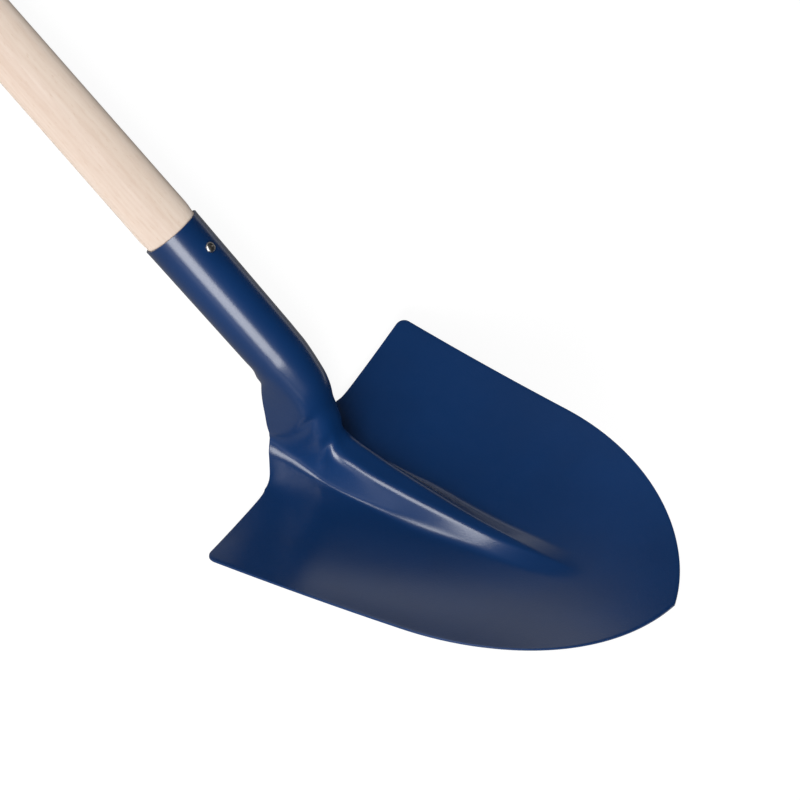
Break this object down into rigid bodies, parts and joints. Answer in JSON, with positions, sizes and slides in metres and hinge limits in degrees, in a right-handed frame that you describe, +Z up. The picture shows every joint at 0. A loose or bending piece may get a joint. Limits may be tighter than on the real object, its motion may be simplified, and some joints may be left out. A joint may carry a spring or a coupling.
{
  "type": "pointed shovel",
  "caption": "Pointed shovel: a dished blade with a pressed centre rib and a rolled tubular socket, screwed to a long straight wooden handle.",
  "frame": {"origin": "on the ground, under the middle of the shovel's length and width as it lies on its back", "axes": "+X along the shovel from the handle's end to the blade, +Y to the left seen from the handle's end, +Z up; the blade's hollow face looks up and back along the handle"},
  "size_m": [1.6028, 0.2682, 0.2222],
  "materials": {
    "blue_coating": "satin dark blue stove enamel with a faint orange peel",
    "pale_beech": "smooth turned wood, unvarnished",
    "screw_steel": "bright zinc plated"
  },
  "bodies": {
    "root": {"head": "blue_coating", "handle": "pale_beech", "socket_screw": "screw_steel"}
  },
  "joints": []
}
